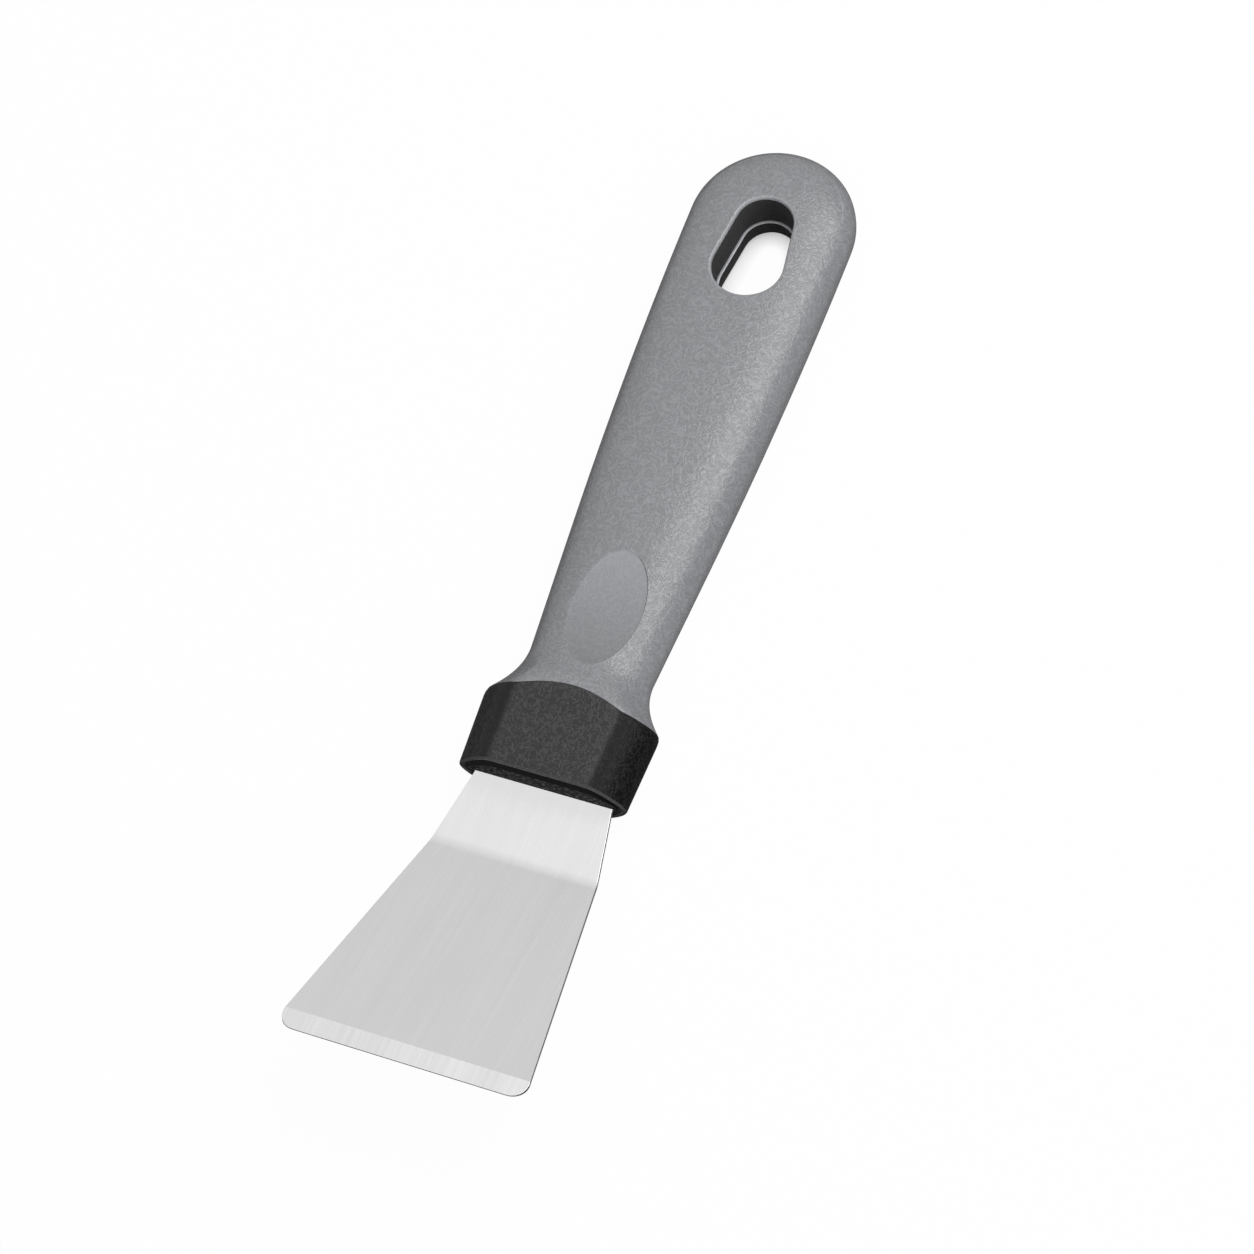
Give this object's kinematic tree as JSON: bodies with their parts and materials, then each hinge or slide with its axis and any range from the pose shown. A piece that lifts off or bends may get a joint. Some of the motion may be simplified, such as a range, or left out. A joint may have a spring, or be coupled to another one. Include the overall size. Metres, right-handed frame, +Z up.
{
  "type": "griddle scraper",
  "caption": "Hand scraper with a cranked, bevelled steel blade, a black collar and a soft grey grip with a thumb dish and a hanging hole.",
  "frame": {"origin": "middle of the bounding box in plan, on the flat underside of the handle", "axes": "+Y from the scraping edge to the hanging hole, +Z up through the handle's top, +X across"},
  "size_m": [0.0546, 0.2396, 0.028],
  "materials": {
    "brushed_steel": "satin, brushed along the blade, with a ground bevel",
    "black_plastic": "fine moulded grain",
    "grey_rubber": "soft satin overmould with a fine grain"
  },
  "bodies": {
    "root": {"blade": "brushed_steel", "collar": "black_plastic", "core_upper": "black_plastic", "core_lower": "black_plastic", "grip": "grey_rubber"}
  },
  "joints": []
}
